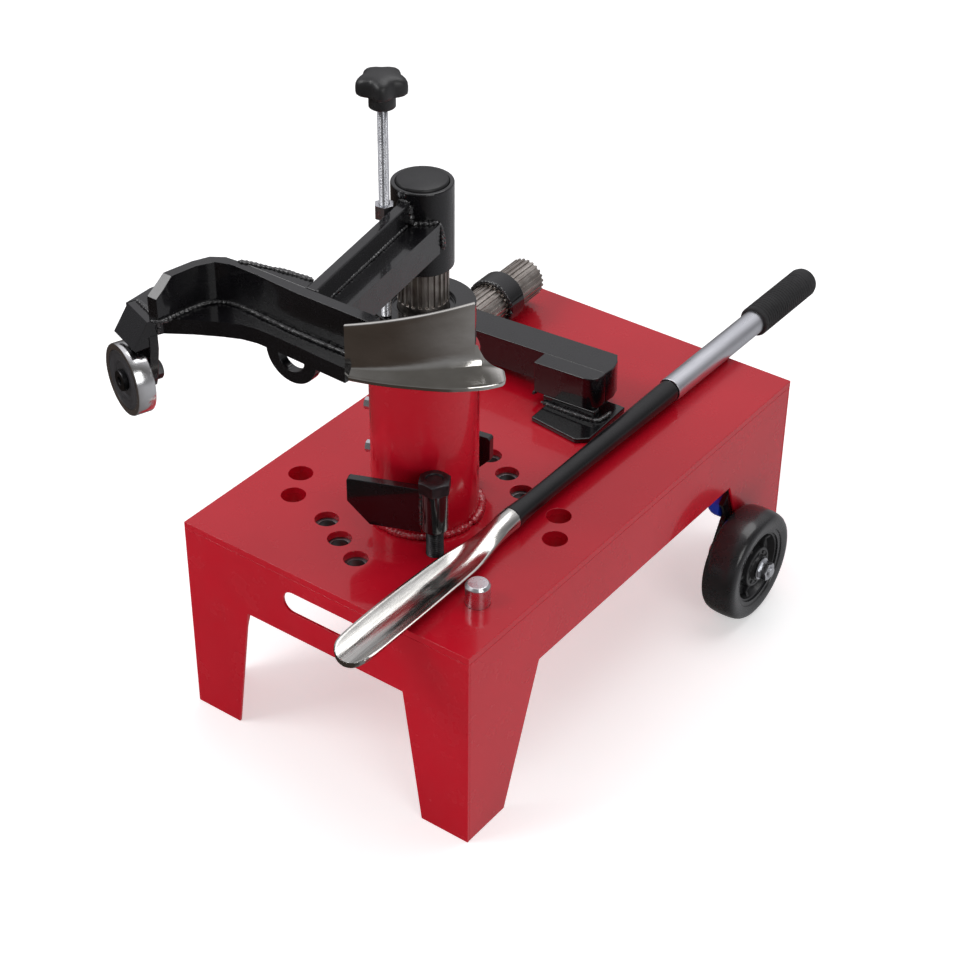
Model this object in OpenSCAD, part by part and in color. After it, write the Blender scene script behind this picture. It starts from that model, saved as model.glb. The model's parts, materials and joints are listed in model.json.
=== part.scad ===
/* [Bench] */
// width of the bench across its front
bench_w = 360; // [300:5:420]
// length of the bench from front to back
bench_l = 604; // [500:2:700]
// height of the bench top above the floor
bench_h = 238; // [200:2:280]
// sheet thickness of the bench body
sheet = 3; // [2:0.5:5]
// thickness of the bench top plate
top_t = 8; // [4:1:12]
// depth of the front and back aprons
apron_f = 81; // [60:1:110]
// depth of the side aprons
apron_s = 76; // [60:1:110]

/* [Column] */
// distance of the column axis in front of the bench centre
col_back = 132; // [100:1:160]
// outside diameter of the column tube
col_d = 110; // [90:1:130]
// height of the collar top above the floor
collar_z = 481; // [440:1:520]
// outside diameter of the collar on the column
collar_d = 102; // [80:1:112]
// diameter over the teeth of the splined shaft
spline_d = 50; // [40:0.5:60]

/* [Arm] */
// outside diameter of the arm sleeve
sleeve_d = 60; // [54:1:70]
// height of the underside of the arm plate
plate_z = 545; // [520:1:560]
// radius of the duckhead wall about the column axis
lip_r = 246; // [230:1:252]

/* [Roller and wheels] */
// diameter of the rim roller
roller_d = 68; // [50:1:80]
// width of the rim roller
roller_w = 18; // [12:1:24]
// diameter of the transport wheels
wheel_d = 130; // [110:1:150]
// tread width of the transport wheels
wheel_w = 42; // [30:1:50]

/* [Height screw] */
// diameter of the height screw
screw_d = 10; // [8:1:14]
// diameter over the lobes of the knob
knob_d = 50; // [40:1:64]

/* [Hidden] */
OFF = [0, -25.6, 0];
CX = -2;
CY = -col_back;
T = bench_h;
HX = [[-139, -33.1], [-119.9, -67.3], [139, 33.1], [119.9, 67.3]];
HT = [[-65.5, -78.85], [-34, -96.7], [0, -112.5], [0, 112.5], [34, 96.7], [65.5, 78.85]];
PIN = [137.7, -95.6];
RN = [0.350, 0.9368];
RA = atan2(RN[1], RN[0]);
RO = [-105, -274];
SX = -11.5;
SY = -42.5;
PX = 93;
PZ = T + 14.05;
ACC = [-154, 128, 268.6];

RED = [0.66, 0.03, 0.07];
BLK = [0.03, 0.03, 0.035];
ZNC = [0.72, 0.73, 0.75];
PLD = [0.80, 0.79, 0.76];
SPL = [0.42, 0.38, 0.35];
TYR = [0.05, 0.05, 0.055];
BLU = [0.05, 0.16, 0.75];

module at(x, y, z = 0) translate([x, y, z] + OFF) children();
module col(z = 0) translate([CX, CY, z] + OFF) children();
module hexn(af, h, turn = 0) rotate([0, 0, turn]) cylinder(d = af / cos(30), h = h, $fn = 6);
module alongx() rotate([0, 90, 0]) children();
module cyl(r, h, n = 72) cylinder(r = r, h = h, $fn = n);

module bench_top() color(RED) difference() {
  at(-bench_w / 2, -bench_l / 2, T - top_t) cube([bench_w, bench_l, top_t]);
  for (p = HX) col(T - top_t - 1) translate([p[0], p[1], 0]) cyl(13, top_t + 2, 48);
  for (p = HT) col(T - top_t - 1) translate([p[0], p[1], 0]) cyl(12.5, top_t + 2, 48);
  col(T - top_t - 1) translate([PIN[0], PIN[1], 0]) cyl(12.6, top_t + 2, 48);
  for (s = [1, -1]) col(T - top_t - 1) translate([56.5 * s, -57.5 * s, 0]) cyl(9.06, top_t + 2, 48);
}

module panel_front() color(RED) difference() {
  at(-bench_w / 2, -bench_l / 2 + sheet, 0) rotate([90, 0, 0]) linear_extrude(sheet)
    polygon([[0, 0], [58, 0], [80, T - sheet - apron_f + 3], [bench_w - 80, T - sheet - apron_f + 3],
      [bench_w - 58, 0], [bench_w, 0], [bench_w, T - top_t], [0, T - top_t]]);
  at(0, -bench_l / 2 - 1, 200.5) rotate([-90, 0, 0]) {
    for (s = [-1, 1]) translate([37.5 * s, 0, 0]) cyl(12.5, sheet + 2, 48);
    translate([-37.5, -12.5, 0]) cube([75, 25, sheet + 2]);
  }
}

module side_shape() polygon([[0, 0], [59, 0], [115, T - sheet - apron_s], [bench_l - 2 * sheet - 117, T - sheet - apron_s],
  [bench_l - 2 * sheet - 60, 0], [bench_l - 2 * sheet, 0],
  [bench_l - 2 * sheet, T - top_t], [0, T - top_t]]);
module panel_left() color(RED) difference() {
  at(-bench_w / 2, -bench_l / 2 + sheet, 0) rotate([90, 0, 90]) linear_extrude(sheet) side_shape();
  at(-bench_w / 2 - 1, 255, 65) alongx() cyl(8.2, sheet + 2, 48);
}
module panel_right() color(RED) difference() {
  at(bench_w / 2 - sheet, -bench_l / 2 + sheet, 0) rotate([90, 0, 90]) linear_extrude(sheet) side_shape();
  at(bench_w / 2 - sheet - 1, 255, 65) alongx() cyl(8.2, sheet + 2, 48);
}
module panel_back() color(RED) at(-bench_w / 2, bench_l / 2, 0) rotate([90, 0, 0]) linear_extrude(sheet)
  polygon([[0, 0], [58, 0], [80, T - sheet - apron_f + 3], [bench_w - 80, T - sheet - apron_f + 3],
    [bench_w - 58, 0], [bench_w, 0], [bench_w, T - top_t], [0, T - top_t]]);

module weld_nuts() color(ZNC) {
  for (p = HT) col(T - top_t - 14) translate([p[0], p[1], 0]) difference() {
    cyl(15, 14, 48); translate([0, 0, -1]) cyl(9, 16, 48);
  }
  for (s = [1, -1]) col(T - top_t - 14) translate([56.5 * s, -57.5 * s, 0]) difference() {
    cyl(15, 14, 48); translate([0, 0, -1]) cyl(9.06, 16, 48);
  }
}

module pin_guides() color(RED) {
  for (p = HX) col(T - top_t - 30) translate([p[0], p[1], 0]) difference() {
    cyl(16.5, 30, 48); translate([0, 0, -1]) cyl(13, 32, 48);
  }
  col(T - top_t - 30) translate([PIN[0], PIN[1], 0]) difference() {
    cyl(16.5, 30, 48); translate([0, 0, -1]) cyl(12.6, 32, 48);
  }
}

module column_tube() color(RED) difference() {
  col(T) cyl(col_d / 2, 429 - T, 96);
  col(T - 1) cyl(col_d / 2 - 6, 200, 96);
}
module column_bead() color(RED) col(T) rotate_extrude($fn = 96)
  polygon([[55, 0], [61, 0], [60.4, 2.4], [58.6, 4.8], [56.6, 6.4], [55, 7]]);
module column_collar() color(BLK) difference() {
  col(429) union() { cyl(collar_d / 2, collar_z - 429, 96); translate([0, 0, -8]) cyl(48.9, 8, 96); }
  col(420) cyl(spline_d / 2 + 0.06, 80, 96);
  col(collar_z - 5) cyl(31, 10, 72);
}
module column_screws() color(ZNC) for (z = [300, 352, 396]) col(z) rotate([0, -90, 20]) translate([0, 0, 55.02]) hexn(11, 8);

module bracket() {
  difference() {
    union() {
      rotate([90, 0, 90]) linear_extrude(6) polygon([[165, 40], [204, 38], [286, 44], [290, 160], [184, 161], [186, 147], [175, 137], [184, 118], [166, 84]]);
      alongx() translate([-65, 187, 0]) cyl(20, 6, 48);
    }
    translate([-1, 187, 65]) alongx() cyl(6.05, 10, 48);
    translate([-1, 255, 65]) alongx() cyl(8.2, 10, 48);
  }
}

module wheel_bracket_left() color(BLK) at(-bench_w / 2 + sheet, 0, 0) bracket();
module wheel_bracket_right() color(BLK) at(bench_w / 2 - sheet - 6, 0, 0) bracket();
module bracket_plugs() color(BLU) for (s = [1, -1]) at(s * 170.9, 192, 127) rotate([0, -s * 90, 0])
  rotate_extrude($fn = 64) polygon([[0, 0], [15.5, 0], [15.5, 8], [14.6, 11.5], [12.6, 15], [9.5, 18], [5, 20], [0, 20.6]]);

module axle_bolts() color(ZNC) for (s = [1, -1]) at(0, 187, 65) rotate([0, s * 90, 0]) {
  translate([0, 0, 162]) hexn(19, 8.9);
  translate([0, 0, 165]) cyl(5.99, 75, 48);
}
module axle_nuts() color(ZNC) for (s = [1, -1]) at(0, 187, 65) rotate([0, s * 90, 0])
  translate([0, 0, 225.5]) difference() {
    union() { cyl(13, 1.6, 48); translate([0, 0, 1.6]) hexn(19, 10, 0); }
    translate([0, 0, -1]) cyl(6.05, 14, 48);
  }

module tyre() scale(wheel_d / 130) rotate_extrude($fn = 96) polygon([[42, -18], [48, -20.2], [56, -wheel_w / 2], [60.5, -20],
  [63.6, -16], [64.8, -8], [65, 0], [64.8, 8], [63.6, 16], [60.5, 20], [56, wheel_w / 2], [48, 20.2], [42, 18]]);

module hub() scale(wheel_d / 130) rotate_extrude($fn = 96) polygon([[6.06, -20.5], [15, -20.5], [15, -14], [22, -12], [33, -8], [38, -16],
  [42, -16], [42, 16], [38, 16], [33, 6], [24, 10], [23.5, 16.5], [15, 16.5], [15, 20.5], [6.06, 20.5]]);

module tyre_left() color(TYR) at(-204.6, 187, 65) rotate([0, -90, 0]) tyre();
module hub_left() color(BLK) at(-204.6, 187, 65) rotate([0, -90, 0]) hub();
module tyre_right() color(TYR) at(204.6, 187, 65) alongx() tyre();
module hub_right() color(BLK) at(204.6, 187, 65) alongx() hub();

module cbolt(z) {
  difference() { translate([0, 0, z + 46]) hexn(30, 13, 0); translate([0, 0, z + 57.8]) cyl(9, 3, 36); }
  translate([0, 0, z - 62]) cyl(9, 109, 48);
}
module csleeve(z) translate([0, 0, z]) difference() { cyl(13.5, 45.7, 48); translate([0, 0, -1]) cyl(9.06, 48, 48); }
module cflag(z, a) rotate([0, 0, a]) difference() {
  translate([0, 4.5, z - 6]) rotate([90, 0, 0]) linear_extrude(9)
    polygon([[0, 0], [66, 0], [89, 25], [89, 50], [87, 52], [0, 52]]);
  translate([0, 0, z - 8]) cyl(13.5, 60, 48);
}
module clamp_bolt_front() color(BLK) col(0) translate([56.5, -57.5, 0]) rotate([0, 0, 30]) cbolt(269);
module clamp_sleeve_front() color(BLK) col(0) translate([56.5, -57.5, 0]) csleeve(269);
module clamp_flag_front() color(BLK) col(0) translate([56.5, -57.5, 0]) cflag(269, 202);
module clamp_bolt_rear() color(BLK) col(0) translate([-56.5, 57.5, 0]) rotate([0, 0, 30]) cbolt(251);
module clamp_sleeve_rear() color(BLK) col(0) translate([-56.5, 57.5, 0]) csleeve(251);
module clamp_flag_rear() color(BLK) col(0) translate([-56.5, 57.5, 0]) cflag(251, 9);

module locating_pin() color(ZNC) col(0) translate([PIN[0], PIN[1], 190]) rotate_extrude($fn = 72)
  polygon([[0, 0], [10.5, 0], [12.55, 2.5], [12.55, 69], [10.2, 72], [0, 72]]);

module splined_shaft() color(SPL) col(0) difference() {
  translate([0, 0, 421]) cyl(spline_d / 2, 164, 96);
  for (i = [0 : 23]) rotate([0, 0, i * 15]) translate([spline_d / 2 - 1.9, -1.7, 486]) cube([4, 3.4, 120]);
}

module arm_sleeve() color(BLK) col(0) difference() {
  translate([0, 0, 523]) cyl(sleeve_d / 2, 87, 96);
  translate([0, 0, 522]) cyl(spline_d / 2 + 0.06, 90, 96);
}
module sleeve_cap() color([0.07, 0.07, 0.075]) col(601) rotate_extrude($fn = 72)
  polygon([[0, 0], [25.06, 0], [25.06, 9.2], [24, 11], [18, 12.6], [9, 13.6], [0, 14]]);

module brace_bar() color(BLK) col(0) difference() {
  translate([0, 0, 556]) linear_extrude(45) polygon([[-3.5, -20], [7, -20], [42, -203.4], [31.4, -203.4]]);
  translate([0, 0, 540]) cyl(sleeve_d / 2, 80, 96);
  translate([SX, SY, 580]) cyl(5.1, 30, 48);
}

module brace_tube() color(BLK) col(0) difference() {
  translate([0, 0, 549]) linear_extrude(31) polygon([[7.6, -14], [31, -14], [63.7, -203.4], [42.6, -203.4]]);
  translate([0, 0, 540]) cyl(sleeve_d / 2, 60, 96);
  translate([0, 0, 553]) linear_extrude(23) polygon([[11.6, 0], [27.2, 0], [61, -210], [46, -210]]);
}

module screw_nut() color(ZNC) col(586) translate([SX, SY, 0]) difference() {
  hexn(17, 14, 8); translate([0, 0, -1]) cyl(screw_d / 2 + 0.06, 20, 48);
}

function arcp(r, a0, a1, n) = [for (i = [0 : n]) let(a = a0 + (a1 - a0) * i / n) [r * cos(a), r * sin(a)]];
module arm_plate() color(BLK) col(0) difference() {
  translate([0, 0, plate_z]) linear_extrude(15) polygon(concat(
    [[98, -235], [70, -234], [46, -232.5], [20, -231.5], [-4, -231.5], [-19, -234.5], [-36, -242], [-58, -254], [-80, -268.5],
    [-85, -279], [-125, -269], [-126, -236], [-119, -206], [-108, -190], [-92, -180], [-60, -178], [-20, -186], [0, -203.5], [84, -203.5]],
    [for (a = [-56 : -2 : -66]) (lip_r - 4.05) * [cos(a), sin(a)]]));
  rframe() translate([-21, -60, 500]) cube([42, 69.02, 100]);
}

module arm_rib() color(BLK) col(plate_z + 15) difference() {
  linear_extrude(40) polygon([[112, -215], [30, -215], [-18, -212], [-47, -211.5], [-62, -217.5], [-70, -232], [-74.5, -255], [-76, -268], [-78, -276],
    [-89, -276], [-86.5, -266], [-83.5, -250], [-79, -228], [-72, -212.5], [-60, -204.5], [-48, -203.5], [112, -203.5]]);
  translate([-60, -258, 40]) rotate([43, 0, 0]) translate([-60, -60, 0]) cube([90, 60, 40]);
  translate([0, 0, -1]) difference() { cyl(400, 50, 96); cyl(lip_r - 4.05, 60, 180); translate([-200, -400, -1]) cube([270, 400, 60]); }
}

module arm_gusset() color(BLK) col(plate_z + 15) linear_extrude(40) polygon([[-46, -203.45], [-31, -199], [0, -192], [28.3, -189.5], [31, -203.45]]);

module duckhead() color(PLD) col(0) difference() {
  rotate([0, 0, -71]) translate([0, 0, plate_z]) rotate_extrude(angle = 38, $fn = 180)
    polygon([[lip_r - 4, 0], [lip_r + 20, 0], [lip_r + 20, 4.5], [lip_r + 13, 6.2], [lip_r + 8.5, 9], [lip_r + 5, 13], [lip_r + 2.4, 18.5], [lip_r + 0.8, 26], [lip_r, 36], [lip_r, 80], [lip_r - 4, 80]]);
  rotate([0, 0, -54.25]) translate([100, 0, 609.5]) rotate([12.3, 0, 0]) translate([0, -200, 0]) cube([300, 400, 100]);
  translate([0, 0, plate_z - 1]) linear_extrude(100) difference() {
    square(900, center = true);
    polygon([[98.55, -210], [99.2, -231.3], [116, -225.5], [136, -217], [153, -208.5], [166, -201.5], [179, -193.5], [190, -184], [199, -174.5], [206.9, -161.8], [208.8, -158.4], [208.4, -154], [205, -149],
      [195.7, -155.6], [186.4, -162], [179.3, -162.6], [100, -100]]);
  }
}

module arm_eye() color(BLK) col(540) translate([26, -213, 0]) rotate([90, 0, 0]) difference() {
  intersection() { cyl(28.5, 9, 72); translate([-40, -40, -1]) cube([80, 45, 12]); }
  translate([0, -2, -1]) cyl(15, 12, 48);
}

module rframe() translate([RO[0], RO[1], 0]) rotate([0, 0, RA - 90]) children();
module roller_bracket() color(BLK) col(0) rframe() {
  translate([20, 0, 0]) rotate([0, -90, 0]) linear_extrude(40) polygon([[560, 0], [536, -15.5], [533.8, -12.2], [547, -3], [545.02, -1], [545.02, 9], [560, 9]]);
  translate([20, 0, 0]) rotate([0, -90, 0]) linear_extrude(5) polygon([[547, -3], [534.2, -12.2], [535, -0.2], [545.02, -0.2]]);
}

module roller_leg() color(BLK) col(0) rframe() difference() {
  translate([0, 8.9, 0]) rotate([90, 0, 0]) linear_extrude(8.8) polygon([[-20, 545], [20, 545], [20, 530], [13, 497], [9, 487], [-9, 487], [-13, 497], [-20, 530]]);
  translate([0, 10, 497]) rotate([90, 0, 0]) cyl(5.06, 12, 48);
}

module roller_bolt() color([0.1, 0.1, 0.11]) col(0) rframe() translate([0, 18, 497]) rotate([90, 0, 0]) {
  difference() {
    union() { cyl(5, 38, 48); translate([0, 0, 36.9]) cyl(10, 4.5, 48); }
    translate([0, 0, 37.9]) cylinder(d = 6.9, h = 5, $fn = 6);
  }
  translate([0, 0, 1]) hexn(16, 8);
  translate([0, 0, 17.95]) difference() { cyl(8.5, 5, 48); translate([0, 0, -1]) cyl(4.9, 7, 48); }
}

module roller_race() color([0.82, 0.82, 0.83]) col(0) rframe() translate([0, -3, 497]) rotate([90, 0, 0]) rotate_extrude($fn = 96)
  polygon([[28, 0], [33, 0], [34, 1], [34, roller_w - 1], [33, roller_w], [28, roller_w]]);
module roller_seal() color([0.08, 0.08, 0.085]) col(0) rframe() translate([0, -3, 497]) rotate([90, 0, 0]) rotate_extrude($fn = 96)
  polygon([[5.06, 2.4], [11.5, 2.4], [11.5, 1], [28, 1], [28, roller_w - 1], [16, roller_w - 1], [16, roller_w - 2.6], [5.06, roller_w - 2.6]]);

module screw_rod() color(ZNC) col(collar_z + 0.1) translate([SX, SY, 0]) rotate_extrude($fn = 48)
  polygon([[0, 0], [3.4, 0], [5, 1.6], [5, 232], [0, 232]]);
module screw_knob() color([0.05, 0.05, 0.055]) col(0) translate([SX, SY, 0]) difference() {
  union() {
    translate([0, 0, 697]) cyl(12.5, 14, 48);
    translate([0, 0, 710]) cyl(knob_d / 2 - 4.5, 17, 60);
    for (i = [0 : 4]) rotate([0, 0, i * 72 + 20]) translate([knob_d / 2 - 10, 0, 710]) cyl(10, 17, 36);
    translate([0, 0, 726.9]) cylinder(r1 = 20, r2 = 11, h = 4.1, $fn = 48);
  }
  translate([0, 0, 690]) cyl(5, 23.2, 48);
}

module spoon2() polygon([[-12, 4], [-16, -30], [-20, -60], [-22.5, -110], [-23.5, -180], [-23.2, -235], [-22, -248], [-17.5, -256.5], [-10, -261], [0, -262],
  [10, -261], [17.5, -256.5], [22, -248], [23.2, -235], [23.5, -180], [22.5, -110], [20, -60], [16, -30], [12, 4]]);
module pry_spoon() color(PLD) at(PX, -118, 0) intersection() {
  translate([0, 0, T + 0.3]) linear_extrude(28) spoon2();
  union() {
    difference() {
      translate([0, 8, T + 32]) rotate([90, 0, 0]) cylinder(r = 31.7, h = 275, $fn = 120);
      translate([0, 8, T + 39.5]) rotate([90, 0, 0]) cylinder(r = 32.5, h = 275, $fn = 120);
    }
    translate([0, 6, PZ]) rotate([90, 0, 0]) cylinder(r1 = 12.5, r2 = 4, h = 120, $fn = 60);
  }
}

module pry_shaft() color(BLK) at(PX, -114, PZ) rotate([-90, 0, 0]) rotate_extrude($fn = 72)
  polygon([[0, 0], [12.4, 0], [11.4, 14], [10.6, 34], [10.4, 60], [11, 140], [12.2, 230], [13, 285], [12.4, 302], [0, 302]]);

module pry_tube() color(ZNC) at(PX, 184.1, PZ) rotate([-90, 0, 0]) difference() {
  cylinder(r = 14, h = 190, $fn = 72); translate([0, 0, -1]) cylinder(r = 12.5, h = 5, $fn = 60);
}
module pry_grip() color([0.04, 0.04, 0.045]) at(PX, 366, PZ) rotate([-90, 0, 0]) difference() {
  rotate_extrude($fn = 60) polygon(concat([[0, 0], [17, 0], [18, 1.5]],
    [for (i = [0 : 21], k = [0 : 3]) [k == 0 ? 18 : k == 1 ? 18 : k == 2 ? 17 : 17, 3 + i * 4.6 + [0, 2.2, 2.8, 4.0][k]]],
    [[18, 106], [18, 113], [16.5, 118], [12, 121.5], [0, 122.5]]));
  translate([0, 0, -1]) cylinder(r = 14, h = 9.1, $fn = 72);
}

module acc() translate(ACC + OFF) rotate([0, -1.5, 2.5]) children();
module accf() translate(ACC + OFF) rotate([0, 0, 2.5]) children();
module acc_bar() color(BLK) acc() translate([-23, -20, -19]) linear_extrude(38) polygon([[0, 0], [229, 0], [230.5, 14.7], [227, 28], [222, 35.6], [220, 40], [0, 40]]);

module acc_block() color(BLK) acc() translate([0, 0, -19]) linear_extrude(38) polygon([[128, -20.01], [128, -42.5], [190, -42.5], [196, -41.6], [201, -38.8], [204.6, -34.3], [206, -28], [206, -20.01]]);

module acc_web() color(BLK) difference() {
  acc() translate([140, -42.5, -38]) cube([66, 10, 18.9]);
  accf() translate([0, -200, -100]) cube([400, 400, 75.4]);
}

module acc_foot() color(BLK) accf() translate([0, 0, -30.5]) linear_extrude(5.8) polygon([[146, -74], [208, -84], [220, -74], [220, 0], [146, 0]]);

module acc_ring() color(BLK) acc() translate([0, 91, 0]) rotate([90, 0, 0]) difference() {
  cyl(30, 26, 72); translate([0, 0, -1]) cyl(24.01, 28, 72);
}
module acc_stub() color(SPL) acc() translate([0, 141, 0]) rotate([90, 0, 0]) difference() {
  cyl(24, 120.9, 96);
  for (i = [0 : 23]) rotate([0, 0, i * 15]) translate([24 - 1.9, -1.6, -1]) cube([4, 3.2, 51]);
  for (i = [0 : 23]) rotate([0, 0, i * 15]) translate([24 - 1.9, -1.6, 76]) cube([4, 3.2, 46]);
}

bench_top();
panel_front();
panel_left();
panel_right();
panel_back();
weld_nuts();
pin_guides();
column_tube();
column_bead();
column_collar();
column_screws();
wheel_bracket_left();
wheel_bracket_right();
bracket_plugs();
axle_bolts();
axle_nuts();
tyre_left();
hub_left();
tyre_right();
hub_right();
clamp_bolt_front();
clamp_sleeve_front();
clamp_flag_front();
clamp_bolt_rear();
clamp_sleeve_rear();
clamp_flag_rear();
locating_pin();
splined_shaft();
arm_sleeve();
sleeve_cap();
brace_bar();
brace_tube();
screw_nut();
arm_plate();
arm_rib();
arm_gusset();
duckhead();
arm_eye();
roller_bracket();
roller_leg();
roller_bolt();
roller_race();
roller_seal();
screw_rod();
screw_knob();
pry_spoon();
pry_shaft();
pry_tube();
pry_grip();
acc_bar();
acc_block();
acc_web();
acc_foot();
acc_ring();
acc_stub();
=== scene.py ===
import json
import math
import random

import bmesh
import bpy
import numpy as np
from mathutils import Matrix, Vector

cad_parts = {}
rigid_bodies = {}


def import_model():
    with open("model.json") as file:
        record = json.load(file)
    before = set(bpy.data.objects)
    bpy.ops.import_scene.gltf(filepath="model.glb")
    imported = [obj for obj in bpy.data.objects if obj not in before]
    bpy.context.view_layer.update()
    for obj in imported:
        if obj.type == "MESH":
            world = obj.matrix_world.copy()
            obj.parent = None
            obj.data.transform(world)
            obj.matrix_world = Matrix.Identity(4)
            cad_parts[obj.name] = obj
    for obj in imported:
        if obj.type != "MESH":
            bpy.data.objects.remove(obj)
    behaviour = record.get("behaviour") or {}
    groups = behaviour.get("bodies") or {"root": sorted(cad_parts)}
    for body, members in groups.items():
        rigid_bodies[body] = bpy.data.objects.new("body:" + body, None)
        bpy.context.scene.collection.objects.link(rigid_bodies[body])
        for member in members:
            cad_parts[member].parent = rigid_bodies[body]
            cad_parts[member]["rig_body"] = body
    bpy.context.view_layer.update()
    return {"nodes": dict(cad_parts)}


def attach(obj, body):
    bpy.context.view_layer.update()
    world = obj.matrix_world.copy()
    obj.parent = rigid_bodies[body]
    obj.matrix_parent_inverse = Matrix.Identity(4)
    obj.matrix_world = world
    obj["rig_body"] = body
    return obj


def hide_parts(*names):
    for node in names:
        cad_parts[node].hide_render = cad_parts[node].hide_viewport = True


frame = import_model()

NODES = frame["nodes"]
OFF = np.array([0.0, -25.6, 0.0])          # the same shift as in the CAD source, mm
AXC = np.array([-2.0, -132.0, 0.0])        # column axis from the bench centre, mm
T = 238.0
rng = random.Random(7)


# ---------------------------------------------------------------- materials
def new_mat(name):
    m = bpy.data.materials.new(name)
    m.use_nodes = True
    nt = m.node_tree
    b = nt.nodes["Principled BSDF"]
    return m, nt, b


def tex_coord(nt, scale=(1, 1, 1)):
    tc = nt.nodes.new("ShaderNodeTexCoord")
    mp = nt.nodes.new("ShaderNodeMapping")
    mp.inputs["Scale"].default_value = scale
    nt.links.new(tc.outputs["Object"], mp.inputs["Vector"])
    return mp.outputs["Vector"]


def noise(nt, vec, scale, detail=4.0, rough=0.55, dist=0.0):
    n = nt.nodes.new("ShaderNodeTexNoise")
    n.inputs["Scale"].default_value = scale
    n.inputs["Detail"].default_value = detail
    n.inputs["Roughness"].default_value = rough
    n.inputs["Distortion"].default_value = dist
    nt.links.new(vec, n.inputs["Vector"])
    return n.outputs["Fac"]


def ramp(nt, fac, stops):
    r = nt.nodes.new("ShaderNodeValToRGB")
    el = r.color_ramp.elements
    el[0].position, el[0].color = stops[0][0], stops[0][1]
    el[1].position, el[1].color = stops[-1][0], stops[-1][1]
    for p, c in stops[1:-1]:
        e = el.new(p)
        e.color = c
    nt.links.new(fac, r.inputs["Fac"])
    return r.outputs["Color"]


def g(v):
    return (v, v, v, 1)


def maprange(nt, fac, lo, hi, a=0.3, b=0.7):
    m = nt.nodes.new("ShaderNodeMapRange")
    m.inputs["From Min"].default_value = a
    m.inputs["From Max"].default_value = b
    m.inputs["To Min"].default_value = lo
    m.inputs["To Max"].default_value = hi
    nt.links.new(fac, m.inputs["Value"])
    return m.outputs["Result"]


def bump(nt, b, height, strength, distance, prev=None):
    n = nt.nodes.new("ShaderNodeBump")
    n.inputs["Strength"].default_value = strength
    n.inputs["Distance"].default_value = distance
    nt.links.new(height, n.inputs["Height"])
    if prev is not None:
        nt.links.new(prev, n.inputs["Normal"])
    nt.links.new(n.outputs["Normal"], b.inputs["Normal"])
    return n.outputs["Normal"]


def mat_red():
    m, nt, b = new_mat("red_gloss_paint")
    v = tex_coord(nt)
    f = noise(nt, v, 6, 3)
    nt.links.new(ramp(nt, f, [(0.3, (0.50, 0.004, 0.016, 1)), (0.7, (0.56, 0.006, 0.020, 1))]), b.inputs["Base Color"])
    nt.links.new(maprange(nt, noise(nt, v, 35, 4), 0.20, 0.30), b.inputs["Roughness"])
    b.inputs["IOR"].default_value = 1.5
    b.inputs["Specular IOR Level"].default_value = 0.18
    b.inputs["Coat Weight"].default_value = 0.60
    b.inputs["Coat Roughness"].default_value = 0.06
    b.inputs["Coat IOR"].default_value = 1.5
    n1 = bump(nt, b, noise(nt, v, 190, 2), 0.05, 0.002)
    bump(nt, b, noise(nt, v, 9, 2), 0.10, 0.006, n1)
    return m


def mat_black(name="black_gloss_paint", rough=(0.16, 0.32), coat=0.85, bump_s=0.16):
    m, nt, b = new_mat(name)
    v = tex_coord(nt)
    f = noise(nt, v, 22, 5)
    nt.links.new(ramp(nt, f, [(0.3, (0.0022, 0.0021, 0.0028, 1)), (0.75, (0.0062, 0.0058, 0.0072, 1))]), b.inputs["Base Color"])
    nt.links.new(maprange(nt, noise(nt, v, 60, 6), rough[0], rough[1]), b.inputs["Roughness"])
    b.inputs["Specular IOR Level"].default_value = 0.22
    b.inputs["Coat Weight"].default_value = coat
    b.inputs["Coat Roughness"].default_value = 0.07
    n1 = bump(nt, b, noise(nt, v, 420, 3), bump_s, 0.0012)
    bump(nt, b, noise(nt, v, 30, 3), 0.10, 0.004, n1)
    return m


def mat_weld(name, c0, c1, rough=(0.10, 0.30)):
    m, nt, b = new_mat(name)
    v = tex_coord(nt)
    nt.links.new(ramp(nt, noise(nt, v, 90, 5), [(0.35, c0), (0.7, c1)]), b.inputs["Base Color"])
    nt.links.new(maprange(nt, noise(nt, v, 120, 4), rough[0], rough[1]), b.inputs["Roughness"])
    b.inputs["Coat Weight"].default_value = 1.0
    b.inputs["Coat Roughness"].default_value = 0.05
    n1 = bump(nt, b, noise(nt, v, 260, 4, 0.6, 0.6), 0.55, 0.0022)
    bump(nt, b, noise(nt, v, 700, 3), 0.25, 0.0008, n1)
    return m


def mat_metal(name, c0, c1, rough, nscale=40, stretch=(1, 1, 1), bs=0.05, bscale=400, aniso=0.0):
    m, nt, b = new_mat(name)
    v = tex_coord(nt, stretch)
    nt.links.new(ramp(nt, noise(nt, v, nscale, 5), [(0.3, c0), (0.7, c1)]), b.inputs["Base Color"])
    b.inputs["Metallic"].default_value = 1.0
    b.inputs["Anisotropic"].default_value = aniso
    nt.links.new(maprange(nt, noise(nt, v, nscale * 2.3, 5), rough[0], rough[1]), b.inputs["Roughness"])
    bump(nt, b, noise(nt, v, bscale, 4), bs, 0.001)
    return m


def mat_plastic(name, c0, c1, rough, bs=0.12, bscale=900, coat=0.0):
    m, nt, b = new_mat(name)
    v = tex_coord(nt)
    nt.links.new(ramp(nt, noise(nt, v, 18, 4), [(0.3, c0), (0.7, c1)]), b.inputs["Base Color"])
    nt.links.new(maprange(nt, noise(nt, v, 45, 4), rough[0], rough[1]), b.inputs["Roughness"])
    b.inputs["Coat Weight"].default_value = coat
    b.inputs["Coat Roughness"].default_value = 0.12
    bump(nt, b, noise(nt, v, bscale, 3), bs, 0.0008)
    return m


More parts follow.
